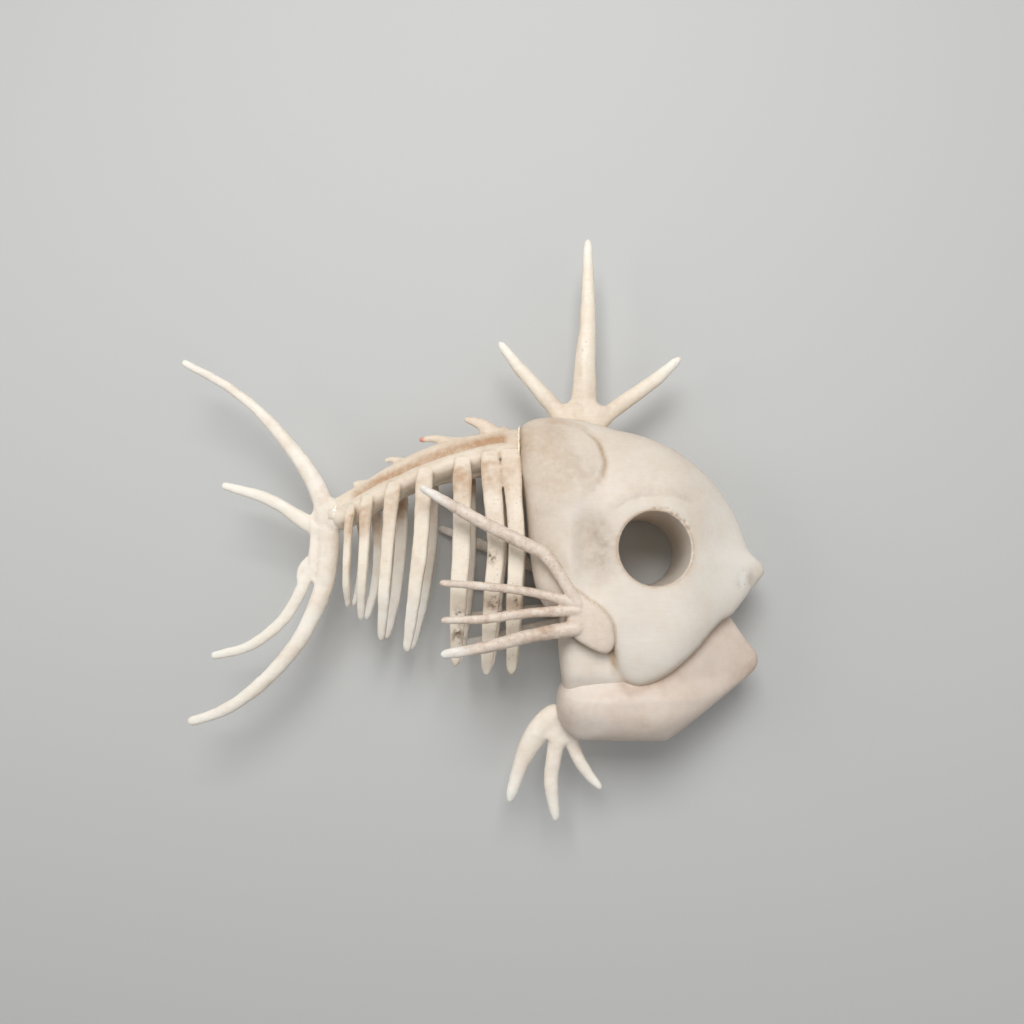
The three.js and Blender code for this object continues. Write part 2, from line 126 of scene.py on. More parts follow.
def skin(name, shape, fineness, rounds, cutter=None):
    """The bodies of a shape fused into one moulded skin, with its joins and edges softened. Fineness is the
    size of its cells, and rounds are those of softening."""
    piece = add_object(name, bpy.data.meshes.new(name))
    shape.to_mesh(piece.data)
    shape.free()
    # A bored piece is fused a second time, so that the edge of the bore is moulded too.
    for number in range(2 if cutter else 1):
        fuse = piece.modifiers.new(f"fuse_{number}", "REMESH")
        fuse.mode = "VOXEL"
        fuse.voxel_size = fineness
        fuse.use_smooth_shade = True
        if cutter and number == 0:
            bore = piece.modifiers.new("bore", "BOOLEAN")
            bore.operation = "DIFFERENCE"
            bore.object = cutter
    soften = piece.modifiers.new("soften", "SMOOTH")
    soften.factor = 0.5
    soften.iterations = rounds
    finished = bpy.data.meshes.new_from_object(piece.evaluated_get(bpy.context.evaluated_depsgraph_get()))
    piece.modifiers.clear()
    piece.data = finished
    piece.data.name = name
    return piece


def points_of(piece, kind="co"):
    found = np.empty(len(piece.data.vertices) * 3)
    piece.data.vertices.foreach_get(kind, found)
    return found.reshape(-1, 3)


def move_points(piece, points):
    piece.data.vertices.foreach_set("co", points.ravel())
    piece.data.update()


def from_line(points, line):
    """How far each point lies from a line on the side view, which side of it (positive on its left), and how
    far along it, from 0 to 1."""
    best = np.full(len(points), np.inf)
    side = np.ones(len(points))
    along = np.zeros(len(points))
    line = np.array(line, float)
    steps = np.diff(line, axis=0)
    lengths = np.linalg.norm(steps, axis=1)
    for number, (start, step, length) in enumerate(zip(line[:-1], steps, lengths)):
        away = points[:, :2] - start
        share = np.clip(away @ step / length**2, 0, 1)
        off = away - share[:, None] * step
        distance = np.hypot(off[:, 0], off[:, 1])
        near = distance < best
        best[near] = distance[near]
        turn = step[0] * away[:, 1] - step[1] * away[:, 0]
        side[near] = np.where(turn[near] >= 0, 1, -1)
        along[near] = ((lengths[:number].sum() + share * length) / lengths.sum())[near]
    return best, side, along


def hollows(piece, rounds=3):
    """How far each point lies in a hollow, positive, or on an edge, negative, from how the skin bends about
    it."""
    mesh = piece.data
    ends = np.empty(len(mesh.edges) * 2, int)
    mesh.edges.foreach_get("vertices", ends)
    first, second = ends.reshape(-1, 2).T
    points, normals = points_of(piece), points_of(piece, "normal")
    count = np.bincount(ends, minlength=len(points))
    lean = np.zeros_like(points)
    np.add.at(lean, first, points[second] - points[first])
    np.add.at(lean, second, points[first] - points[second])
    bend = (lean / count[:, None] * normals).sum(axis=1)
    for _ in range(rounds):
        spread = np.zeros(len(points))
        np.add.at(spread, first, bend[second])
        np.add.at(spread, second, bend[first])
        bend = (bend + spread / count) / 2
    return bend


def blotches(points, size, seed):
    """Soft random patches of about the given size, from 0 to 1."""
    shift = Vector((seed * 17.3, seed * 5.1, seed * 9.7))
    smoothness, spacing, octaves = 0.8, 2.1, 3
    found = [noise.fractal(Vector(point) / size + shift, smoothness, spacing, octaves) for point in points]
    return np.array(found) * 0.5 + 0.5


def paint(piece, **masks):
    """Keeps masks from 0 to 1 on the piece's points, for its material. A mask may be one value for them
    all."""
    for name, values in masks.items():
        layer = piece.data.attributes.new(name, "FLOAT", "POINT")
        values = np.clip(np.broadcast_to(values, len(piece.data.vertices)), 0, 1)
        layer.data.foreach_set("value", values.astype(np.float32))


def finish_piece(piece, material, nodes):
    """Lays a finished piece down where its solids are."""
    piece.data.transform(fish_lies)
    piece.data.materials.clear()
    piece.data.materials.append(material)
    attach(piece, "root")
    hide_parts(*nodes)


def colour(code):
    """A colour such as "e3d9c8" as the light it gives back."""
    shares = [int(code[start : start + 2], 16) / 255 for start in (0, 2, 4)]
    light = [((share + 0.055) / 1.055) ** 2.4 if share > 0.04 else share / 12.92 for share in shares]
    return (*light, 1)


def add_node(tree, kind, links=None, **settings):
    made = tree.nodes.new(kind)
    for name, value in settings.items():
        setattr(made, name, value)
    for socket, value in (links or {}).items():
        if isinstance(value, bpy.types.NodeSocket):
            tree.links.new(value, made.inputs[socket])
        else:
            made.inputs[socket].default_value = value
    return made


def calculate(tree, operation, first, second=0.0, clamp=False):
    links = {0: first, 1: second}
    return add_node(tree, "ShaderNodeMath", links, operation=operation, use_clamp=clamp).outputs[0]


def ramp(tree, value, start, end, low=0.0, high=1.0):
    links = {"Value": value, "From Min": start, "From Max": end, "To Min": low, "To Max": high}
    made = add_node(tree, "ShaderNodeMapRange", links, interpolation_type="SMOOTHSTEP")
    return made.outputs["Result"]


def blend_colours(tree, share, first, second):
    made = add_node(tree, "ShaderNodeMix", data_type="RGBA")
    for socket, value in ((made.inputs[0], share), (made.inputs[6], first), (made.inputs[7], second)):
        if isinstance(value, bpy.types.NodeSocket):
            tree.links.new(value, socket)
        else:
            socket.default_value = value
    return made.outputs[2]


def make_rubbed_stain():
    """The finish that all the mouldings share: bare plastic with a stain wiped over it, brown smudges and
    dark specks caught in its pits. The stain, line, smudge and bleach masks also carry painted shade and
    painted highlights. Places are in millimetres."""
    tree = bpy.data.node_groups.new("rubbed_stain", "ShaderNodeTree")
    for name, kind in (
        ("Place", "NodeSocketVector"),
        ("Plastic", "NodeSocketColor"),
        ("Stain", "NodeSocketColor"),
        ("Stained", "NodeSocketFloat"),
        ("Lined", "NodeSocketFloat"),
        ("Mottling", "NodeSocketFloat"),
        ("Sooty", "NodeSocketFloat"),
        ("Speckled", "NodeSocketFloat"),
        ("Bleached", "NodeSocketFloat"),
        ("Reddened", "NodeSocketFloat"),
    ):
        tree.interface.new_socket(name, in_out="INPUT", socket_type=kind)
    for name, kind in (
        ("Colour", "NodeSocketColor"),
        ("Roughness", "NodeSocketFloat"),
        ("Height", "NodeSocketFloat"),
    ):
        tree.interface.new_socket(name, in_out="OUTPUT", socket_type=kind)
    given = tree.nodes.new("NodeGroupInput").outputs
    result = tree.nodes.new("NodeGroupOutput")

    def pattern(scale, detail, roughness=0.6):
        links = {"Vector": given["Place"], "Scale": scale, "Detail": detail, "Roughness": roughness}
        return add_node(tree, "ShaderNodeTexNoise", links).outputs["Fac"]

    clouds = pattern(0.11, 4)
    mottle = pattern(0.5, 5, 0.65)
    grain = pattern(2.4, 3)
    by_clouds = ramp(tree, clouds, 0.3, 0.72, 0.4, 1.5)
    wiped = calculate(tree, "MULTIPLY", by_clouds, ramp(tree, mottle, 0.3, 0.7, 0.4, 1.5))
    wiped = calculate(tree, "MULTIPLY", calculate(tree, "SUBTRACT", wiped, 1.0), given["Mottling"])
    # The stain share also holds painted shade, laid on in the stain colour.
    stain = calculate(tree, "MULTIPLY", given["Stained"], calculate(tree, "ADD", wiped, 1.0))
    # Lines are tan stain lines and also painted shadow lines under edges.
    line = calculate(tree, "MULTIPLY", given["Lined"], ramp(tree, mottle, 0.25, 0.6, 0.75, 1.0))
    stain = calculate(tree, "ADD", stain, line, clamp=True)
    smears = calculate(tree, "ADD", pattern(0.26, 4), calculate(tree, "MULTIPLY", mottle, 0.35))
    # Brown smudges of soot, and painted shade in the temple hollow and under the pectoral rays.
    smudge = calculate(tree, "MULTIPLY", given["Sooty"], ramp(tree, smears, 0.5, 0.85, 0.5, 1.25), clamp=True)
    links = {"Vector": given["Place"], "Scale": (0.12, 1.6, 1.6)}
    drawn = add_node(tree, "ShaderNodeMapping", links).outputs["Vector"]
    links = {"Vector": drawn, "Scale": 1.0, "Detail": 4.0}
    streaks = add_node(tree, "ShaderNodeTexNoise", links).outputs["Fac"]
    links = {"Vector": given["Place"], "Scale": 0.85, "Randomness": 1.0}
    cells = add_node(tree, "ShaderNodeTexVoronoi", links, feature="F1")
    speck_size = calculate(tree, "ADD", given["Speckled"], 0.8)
    near = calculate(tree, "DIVIDE", cells.outputs["Distance"], speck_size)
    pit = ramp(tree, near, 0.06, 0.28, 1.0, 0.0)
    chosen = add_node(tree, "ShaderNodeSeparateColor", {"Color": cells.outputs["Color"]})
    caught = ramp(tree, chosen.outputs["Red"], 0.55, 0.7)
    speck = calculate(tree, "MULTIPLY", pit, caught)
    speck = calculate(tree, "MULTIPLY", speck, given["Speckled"], clamp=True)

    # The chalky white also paints highlights, and the brown also paints shade.
    yellowed, streaked, chalky = colour("d3bfa0"), colour("bfab90"), colour("f4f1ea")
    brown, dark_brown, red = colour("7a624d"), colour("59473a"), colour("c9664f")
    look = blend_colours(tree, ramp(tree, clouds, 0.35, 0.65, 0.0, 0.14), given["Plastic"], yellowed)
    look = blend_colours(tree, ramp(tree, streaks, 0.4, 0.7, 0.0, 0.07), look, streaked)
    # Paler bleached plastic, and painted highlights and a paler painted far side.
    look = blend_colours(tree, given["Bleached"], look, chalky)
    look = blend_colours(tree, stain, look, given["Stain"])
    look = blend_colours(tree, smudge, look, brown)
    look = blend_colours(tree, speck, look, dark_brown)
    look = blend_colours(tree, given["Reddened"], look, red)
    tree.links.new(look, result.inputs["Colour"])
    rough = ramp(tree, mottle, 0.3, 0.7, 0.46, 0.58)
    rough = calculate(tree, "ADD", rough, calculate(tree, "MULTIPLY", stain, 0.12))
    tree.links.new(rough, result.inputs["Roughness"])
    relief = calculate(tree, "MULTIPLY", mottle, 0.5)
    relief = calculate(tree, "ADD", relief, calculate(tree, "MULTIPLY", grain, 0.25))
    relief = calculate(tree, "ADD", relief, calculate(tree, "MULTIPLY", streaks, 0.3))
    relief = calculate(tree, "SUBTRACT", relief, calculate(tree, "MULTIPLY", speck, 0.5))
    tree.links.new(relief, result.inputs["Height"])
    return tree


rubbed_stain = make_rubbed_stain()


def moulded_plastic(name, plastic, stain, mottling, unevenness):
    """Satin-matte plastic that lets a little light in, under the rubbed stain, painted shade and painted
    highlights.
    """
    material = bpy.data.materials.new(name)
    material.use_nodes = True
    tree = material.node_tree
    shader = tree.nodes["Principled BSDF"]
    place = add_node(tree, "ShaderNodeTexCoord").outputs["Object"]
    links = {"Vector": place, "Scale": (1000, 1000, 1000)}
    place = add_node(tree, "ShaderNodeMapping", links).outputs["Vector"]
    finish = add_node(tree, "ShaderNodeGroup", node_tree=rubbed_stain)
    tree.links.new(place, finish.inputs["Place"])
    finish.inputs["Plastic"].default_value = colour(plastic)
    finish.inputs["Stain"].default_value = colour(stain)
    finish.inputs["Mottling"].default_value = mottling
    for mask in ("stained", "lined", "sooty", "speckled", "bleached", "reddened"):
        found = add_node(tree, "ShaderNodeAttribute", attribute_name=mask).outputs["Fac"]
        tree.links.new(found, finish.inputs[mask.capitalize()])
    tree.links.new(finish.outputs["Colour"], shader.inputs["Base Color"])
    tree.links.new(finish.outputs["Roughness"], shader.inputs["Roughness"])
    links = {"Height": finish.outputs["Height"], "Distance": 0.0003, "Strength": unevenness}
    tree.links.new(add_node(tree, "ShaderNodeBump", links).outputs["Normal"], shader.inputs["Normal"])
    shader.inputs["IOR"].default_value = 1.46
    shader.inputs["Subsurface Weight"].default_value = 0.16
    shader.inputs["Subsurface Radius"].default_value = (1.0, 0.62, 0.4)
    shader.inputs["Subsurface Scale"].default_value = 0.0025
    return material


head_plastic = moulded_plastic("head_plastic", "e7e0d6", "b39778", 0.24, 0.3)

lip, crown, nape = (71.3, 6.4), (6, 55), (-6.7, 50.6)
cranium_outline = [
    lip,
    ((70, 8.2), (68.4, 9.4)),
    ((67, 10.7), (66.4, 13)),
    ((17.9, 0.8), 50.1, 14, 82),
    ((16, 53.9), crown),
    ((-3.6, 55.2), nape),
    ((-6.6, 44), (-6.2, 36)),
    ((-4.6, 28), (-3.9, 19)),
    ((-2.6, -7.4), (4, -8.4)),
    ((19.5, -9), (21.7, -20)),
    ((23.4, -31.3), (30, -31.3)),
    ((38, -30.4), (49.5, -18.4)),
    ((55.6, -10.6), (60.2, -9.2)),
    (70.3, 2.2),
    ((72.7, 4.6), lip),
]
throat_outline = [
    (5.9, -18),
    ((6, -26), (7.6, -33.2)),
    (30, -33.2),
    (42, -14),
    (30, 0),
    (10, 0),
    ((6.4, -4), (5.9, -18)),
]
lobe_outline = [
    (9.9, -1), (8.2, -6), (8, -12), (10.5, -16.0), (12.2, -17.2), (15.1, -18.9), (17.8, -20.1), (20.1, -20.4),
    (21.6, -19.2), (22.3, -17.1), (22.3, -14.8), (22.0, -12.1), (20.9, -9.5), (19.4, -7.7), (17.3, -5.9),
    (14.9, -4.4), (12.3, -2.4), (9.9, -1),
]  # fmt: skip
eye_middle = (34.8, 11)
eye_half_size = (11.05, 11.35)
bore_length = 90
hood_edge = [
    (0.1, 52.4), (6.3, 52.6), (13.5, 50.6), (18.7, 44.9), (20.5, 38), (19.5, 32.4), (15.5, 26.2),
    (10.8, 23.1),
]  # fmt: skip
temple_edge = [(13.6, 34), (11.4, 24), (10.2, 17), (9.9, 8), (10.8, -2), (12.4, -14)]
brow_line = [(20, 21.7), (22.7, 23.4), (26.7, 26.3), (31.8, 27.6), (36.4, 27.8), (40.9, 27.2), (44.6, 25.6)]
plate_edge = [(21.9, -20), (22.6, -25), (24.6, -29), (30, -31), (38, -27.4), (49.5, -18.2), (56, -11)]


def skull_half_width(x, y):
    shares = ((1, 0, 38, 72, 0.6), (0, 1, 22, 58, 0.3), (-1, 0, -26, 6, 0.14), (0, -1, 6, 34, 0.08))
    return narrowed(19.7, x, y, shares)


def skull_squareness(x, y):
    """Soft over the brow, with a tight edge at the nape and round the plate over the jaw."""
    return 3 + 5.5 * eased(-y, -18, 14) + 2.5 * eased(-x, -6, 4)


def throat_half_width(x, y):
    return narrowed(14.6, x, y, ((0, -1, 27, 34, 0.16), (-1, 0, -10, -6, 0.06)))


shape = bmesh.new()
flat_sided(shape, cranium_outline, (27, 8), skull_half_width, skull_squareness, around=180, across=44)
flat_sided(shape, throat_outline, (22, -16), throat_half_width, squareness=6)
cutter_shape = bmesh.new()
bmesh.ops.create_cone(cutter_shape, cap_ends=True, segments=96, radius1=1, radius2=1, depth=bore_length)
bmesh.ops.scale(cutter_shape, vec=(*eye_half_size, 1), verts=cutter_shape.verts)
bmesh.ops.translate(cutter_shape, vec=(*eye_middle, 0), verts=cutter_shape.verts)
eye_cutter = add_object("eye_cutter", bpy.data.meshes.new("eye_cutter"))
cutter_shape.to_mesh(eye_cutter.data)
cutter_shape.free()
skull = skin("skull_moulding", shape, fineness=0.52, rounds=3, cutter=eye_cutter)
bpy.data.objects.remove(eye_cutter)

points = points_of(skull)
sideways = np.abs(points_of(skull, "normal")[:, 2])
x, y, z = points.T
from_eye = np.hypot(x - eye_middle[0], y - eye_middle[1])
outer = eased(np.abs(z), 8, 12) * eased(sideways, 0.15, 0.6) * eased(from_eye, 11.4, 12.4)
hood_distance, hood_side, _ = from_line(points, [(-8, 53), *hood_edge, (2, 20), (-8, 19)])
lower_hood = 1 - eased(y, 25, 37)
hood = np.where(hood_side < 0, eased(hood_distance, 0, 1.3 + 4 * lower_hood), 0) * (1 - 0.4 * lower_hood)
hood_rim = np.where(hood_side < 0, 1 - eased(np.abs(hood_distance - 2.2), 0, 2), 0) * (1 - lower_hood)
temple_distance, temple_side, _ = from_line(points, temple_edge)
past_edge = temple_distance * temple_side
temple = eased(past_edge, -1.6, 3.8) * (1 - eased(past_edge, 3.6, 16))
temple = temple * eased(y, -14, 6) * (1 - eased(y, 14, 31))
brow_distance, brow_side, brow_run = from_line(points, brow_line)
brow = np.where(brow_side > 0, 1 - eased(brow_distance, 0.2, 4.5), 1 - eased(brow_distance, 0, 0.7))
brow = brow * eased(brow_run, 0, 0.2) * (1 - eased(brow_run, 0.75, 1))
rim_turn = np.degrees(np.arctan2(y - eye_middle[1], x - eye_middle[0]))
chipped = eased(rim_turn, 15, 45) * (1 - eased(rim_turn, 70, 110))
chipped = chipped * (1 - eased(np.abs(from_eye - 11.9), 0.2, 1.2))
chipped = chipped * eased(blotches(points, 0.9, seed=21), 0.45, 0.6)
relief = 0.85 * hood + 0.25 * hood_rim - 2.3 * temple + 0.26 * brow - 0.4 * chipped
relief = relief + 0.3 * (blotches(points, 16, 1) - 0.5)
points[:, 2] = z + np.sign(z) * (relief * outer - 0.5 * chipped * (np.abs(z) > 10))
move_points(skull, points)

rolls = blotches(points, 9, 2)
in_bore = 1 - eased(from_eye, 11.3, 11.7)
hollow = eased(hollows(skull), 0.006, 0.03) * (1 - in_bore) * (1 - eased(temple, 0, 0.3))
# Painted shade in the temple hollow behind the eye, with grey smudging in it.
rubbed = 1 - eased(np.hypot((x - 16.5) / 8, (y - 10.5) / 15), 0.3, 1)
hood_in = np.where(hood_side < 0, eased(hood_distance, 0, 3), 0) * eased(y, 16, 34)
hood_line = (1 - eased(np.abs(hood_distance - 0.25), 0.1, 1.5)) * (1 - lower_hood) * eased(x, -1, 5)
plate_distance, _, _ = from_line(points, plate_edge)
seam_distance, _, _ = from_line(points, lobe_outline)
beyond_jaw = eased(np.hypot(x - 66, y - 1), 2, 10)
stained = (
    0.05
    + 0.16 * eased(y, -4, 30)
    + 0.34 * hollow
    + 0.14 * (1 - eased(np.hypot(x + 3, y - 49), 1, 19))
    + 0.06 * hood_in
    + 0.16 * (1 - eased(from_eye, 11.4, 14)) * (1 - in_bore)
    + 0.3 * (1 - eased(np.hypot(x - 70, y - 3), 1, 8))
    + 0.07 * (1 - eased(x, 46, 62)) * (1 - eased(y, 14, 28))
    # painted shadow under the overhanging cheek plate, over a tan stain line
    + 0.26 * (1 - eased(plate_distance, 0.2, 2.4))
    + 0.16 * eased(14 - x, 2, 12) * (1 - eased(y, 8, 26))
    + 0.1 * eased(-y, 12, 20) * (1 - eased(x, 18, 24))
    + 0.1 * (1 - eased(sideways, 0.1, 0.75)) * (1 - in_bore)
)
lined = (
    0.07 * eased(y, 0, 36)
    + 0.09 * hood_in
    + 0.1 * (1 - eased(x, 2, 14)) * eased(y, -10, 6)
    # painted shade in the temple hollow
    + 0.16 * rubbed
    + 0.26 * hood_line * eased(sideways, 0.04, 0.4) * (np.abs(z) > 4)
    + 0.45 * (1 - eased(np.abs(from_eye - 11.5), 0.1, 0.8))
    # painted shadow along the steep lower edge of the cheek plate
    + 0.6 * (1 - eased(plate_distance, 0.2, 1.3)) * (1 - outer) * (np.abs(z) > 8)
    # painted shade with a tan line at the cheek plate's rear edge
    + 0.16 * (1 - eased(np.abs(x - 22.2), 0.2, 1.6)) * (1 - eased(np.abs(y + 23), 3, 6)) * (np.abs(z) > 8)
    + 0.5 * (1 - eased(seam_distance, 0.3, 1.0)) * eased(np.abs(z), 10, 12)
    + 0.3 * (1 - eased(np.abs(x + 6.4), 0.2, 1.2)) * eased(y, 30, 38)
)
brow_smudge = np.where(brow_side > 0, 1 - eased(brow_distance, 0.1, 3.4), 1 - eased(brow_distance, 0, 0.5))
sooty = (
    # painted shade in the temple hollow, broken up with grey smudges
    0.24 * rubbed * (0.6 + 0.5 * eased(rolls, 0.35, 0.6))
    + 0.3 * (1 - eased(np.hypot(x - 66, y - 1), 1, 7)) * eased(rolls, 0.3, 0.6)
    # painted shade where the temple hollow is deepest, by the eye's rear rim
    + 0.12 * (1 - eased(np.hypot(x - 20, (y - 11) * 0.7), 2, 9))
    + 0.12 * brow_smudge * eased(brow_run, 0, 0.15)
    + 0.1 * eased(hood, 0.5, 1) * (1 - eased(np.hypot(x - 13, y - 34), 3, 12))
)
bleached = (
    0.08 * eased(-y, -10, 22) * beyond_jaw
    + 0.6 * eased(x, 44, 62) * eased(y, -8, 4)
    + 0.7 * chipped
    # painted highlight on the lit right side of the eye bore's wall
    + 0.8 * in_bore * eased(x, 30, 40)
)
paint(
    skull,
    # the bore wall is nearly freed of stain and soot and painted paler, as if lit
    stained=stained * (1 - 0.7 * in_bore),
    lined=lined,
    sooty=sooty * (1 - in_bore),
    speckled=0.05 + 0.4 * (1 - eased(np.hypot(x - 64, y - 1), 2, 6)) + 0.3 * chipped,
    bleached=bleached,
)
finish_piece(skull, head_plastic, ["skull"])

# --- Lower jaw ---------------------------------------------------------------------------------------------
# The jutting jaw, moulded with the head in the same ivory plastic and hollow behind. Its flat keel turns up
# in one straight bevel to the chin, and the cheek plate above it overhangs its upper edge.

jaw_outline = [
    (59.6, -8.2),
    (30, -21),
    (9, -27),
    ((8.2, -29), (7.4, -31)),
    ((4.9, -33.4), (5.2, -39)),
    ((6.2, -46.6), (12.5, -48.2)),
    (39, -48.4),
    (65, -29.3),
    ((70.7, -25.4), (68.9, -21.3)),
    (64.4, -15.3),
    (59.6, -8.2),
]
band_line = [(5, -31.8), (10, -31.9), (15.0, -32.4), (23.9, -33.6), (30.5, -33.6)]
shadow_line = [(21.9, -26), (27, -32), (38, -28), (49.5, -18.4), (58, -10)]


def jaw_half_width(x, y):
    return narrowed(16, x, y, ((1, 0, 34, 70, 0.62), (0, -1, 38, 50, 0.14), (0, 1, -35, -28, 0.16)))


jaw_plastic = moulded_plastic("jaw_plastic", "e6dace", "b0917c", 0.24, 0.3)
shape = bmesh.new()
flat_sided(shape, jaw_outline, (34, -34), jaw_half_width, squareness=3.8, around=150, across=44)
jaw = skin("lower_jaw_moulding", shape, fineness=0.45, rounds=3)

points = points_of(jaw)
sideways = np.abs(points_of(jaw, "normal")[:, 2])
x, y, z = points.T
outer = eased(sideways, 0.15, 0.6)
band_distance, band_side, _ = from_line(points, band_line)
band = np.where(band_side < 0, eased(band_distance, 0, 2.4), 0) * (1 - eased(x, 12, 34))
band = band * (1 - eased(-y, 36, 44))
points[:, 2] = z + np.sign(z) * outer * (0.8 * band + 0.35 * (blotches(points, 14, 3) - 0.5))
move_points(jaw, points)
rolls = blotches(points, 10, 14)
under_plate, _, _ = from_line(points, shadow_line)
stained = (
    0.13
    + 0.3 * eased(hollows(jaw), 0.006, 0.03)
    + 0.26 * (1 - eased(np.hypot(x - 8.5, (y + 41) * 0.5), 0.5, 4.5))
    + 0.2 * (1 - eased(np.hypot(x - 69, y + 24), 1, 12))
    + 0.08 * (1 - eased(sideways, 0.1, 0.8))
    # painted shadow cast by the overhanging cheek plate
    + 0.2 * (1 - eased(under_plate, 0.5, 3.4))
    + 0.06 * eased(rolls, 0.4, 0.65)
)
# The second term is a painted shadow line under the cheek plate's edge.
lined = 0.1 * eased(x, 10, 26) + 0.14 * (1 - eased(under_plate, 0.2, 1.8)) * outer
paint(
    jaw,
    stained=stained,
    lined=lined,
    sooty=0.02 + 0.03 * eased(rolls, 0.5, 0.7),
    speckled=0.05,
    bleached=0.3 * (1 - eased(x, 8, 26)),
)
finish_piece(jaw, jaw_plastic, ["lower_jaw"])

# --- Dorsal and pelvic fins --------------------------------------------------------------------------------
# Each a fan of three bare tapering rays that spring from one root, moulded in one piece and plugged into the
# head or the jaw. The fillets between the rays are as cast, and the tips are paler where less of the stain
# stayed.


def curve_through(path, count=240):
    """Evenly spaced places along a smooth curve through the points of a path."""
    leg_steps = 24
    knots = np.array([(*point, 0.0)[:3] for point in path], float)
    knots = np.vstack([2 * knots[0] - knots[1], knots, 2 * knots[-1] - knots[-2]])
    legs = np.diff(knots, axis=0)
    times = np.linalg.norm(legs, axis=1)[:, None] ** 0.5
    leans = legs[:-1] / times[:-1] - (legs[:-1] + legs[1:]) / (times[:-1] + times[1:]) + legs[1:] / times[1:]
    line = []
    for leg in range(1, len(legs) - 1):
        start, end = knots[leg], knots[leg + 1]
        out, into = leans[leg - 1] * times[leg], leans[leg] * times[leg]
        for share in np.linspace(0, 1, leg_steps, endpoint=leg == len(legs) - 2):
            rest = 1 - share
            place = start * (1 + 2 * share) * rest**2 + end * (3 - 2 * share) * share**2
            line.append(place + out * share * rest**2 - into * rest * share**2)
    return evenly(line, count)


def limb(
    shape, path, widths, thicknesses, section=2.0, facing=(0, 0, 1), sides=24, rings=72, root=1.0, point=1.6
):
    """A bar with rounded ends bent along a path, spread from a sphere. Its full widths lie square to
    `facing` and its thicknesses along it. A section of 2 is oval, and more is a strap. Root and point are
    the lengths of its ends, in widths."""
    line = curve_through(path)
    length = np.linalg.norm(np.diff(line, axis=0), axis=1).sum()
    headings = np.gradient(line, axis=0)
    marks = np.linspace(0, 1, len(line))
    made = bmesh.ops.create_uvsphere(shape, u_segments=sides, v_segments=rings, radius=1)
    for vert in made["verts"]:
        x, y, z = vert.co
        cap = (root * widths[0] if z < 0 else point * widths[-1]) / length
        reach = math.sqrt(max(0, 1 - max(0, (abs(z) - 1 + cap) / cap) ** 2))
        share = (z + 1) / 2
        spot = Vector([np.interp(share, marks, line[:, axis]) for axis in range(3)])
        heading = Vector([np.interp(share, marks, headings[:, axis]) for axis in range(3)]).normalized()
        outward = Vector(facing)
        outward = (outward - heading * outward.dot(heading)).normalized()
        across = outward.cross(heading)
        size = math.hypot(x, y) or 1
        wide, thin = (math.copysign(abs(side / size) ** (2 / section), side) * reach / 2 for side in (x, y))
        wide *= np.interp(share, np.linspace(0, 1, len(widths)), widths)
        thin *= np.interp(share, np.linspace(0, 1, len(thicknesses)), thicknesses)
        vert.co = spot + across * wide + outward * thin


def ray(shape, path, widths, slim):
    """A tapering ray. Slim is its thickness as a share of its width, up to the most that a root has."""
    thickest = 5.2
    limb(shape, path, widths, [min(width * slim, thickest) for width in widths], point=2.6)


def uneven(piece, size, amount, seed):
    """The slight waviness of a hand-made pattern, kept in the casting."""
    points = points_of(piece)
    wave = (blotches(points, size, seed) - 0.5) * amount
    move_points(piece, points + points_of(piece, "normal") * wave[:, None])


def tips(points, ends, reach):
    """1 at the ends of the rays, fading out over a reach."""
    found = np.zeros(len(points))
    for end in ends:
        away = np.linalg.norm(points - (*end, 0)[:3], axis=1)
        found = np.maximum(found, 1 - eased(away, 0.2 * reach, reach))
    return found


ivory_plastic = moulded_plastic("ivory_plastic", "f1e8d8", "b28d6b", 0.34, 0.35)
pale_plastic = moulded_plastic("pale_plastic", "f2ebdf", "c49f80", 0.5, 0.3)

dorsal_rays = [
    ([(14.2, 48), (15.3, 73.8), (16.2, 87.9), (16.5, 116.9)], [13, 9, 7.4, 6.2, 5.1, 4, 2.8], 0.72),
    ([(12.5, 50), (1.9, 62.2), (-7, 72.6), (-13.7, 81.4)], [9.4, 6, 5, 4.2, 3], 0.8),
    ([(15, 50), (25.5, 58.5), (39.5, 68.7), (47, 75.5)], [8, 5.6, 5.2, 4.6, 2.8], 0.8),
]
pelvic_rays = [
    ([(8, -40), (0.8, -44.9), (-5, -54), (-10, -68.8)], [9, 7.6, 5, 3.2], 0.8),
    ([(8, -41), (5.1, -51), (3.4, -62), (5, -74.6)], [9, 5.2, 4.7, 3], 0.8),
    ([(8, -41), (10.4, -51), (14.3, -58.4), (19.5, -64.4)], [9, 4.4, 3.9, 2.6], 0.8),
]
dorsal_web = [
    (4.5, 60),
    ((9.6, 58.2), (11, 63)),
    (18.4, 62),
    ((19.8, 57), (25.5, 59.6)),
    (22, 52),
    (8, 52),
    (4.5, 60),
]
pelvic_web = [
    (-2, -48),
    (1.6, -40),
    (12, -40),
    (12.4, -51),
    ((8.4, -48.6), (6, -53.5)),
    (4, -54),
    ((3.6, -47.5), (0, -49)),
    (-2, -48),
]
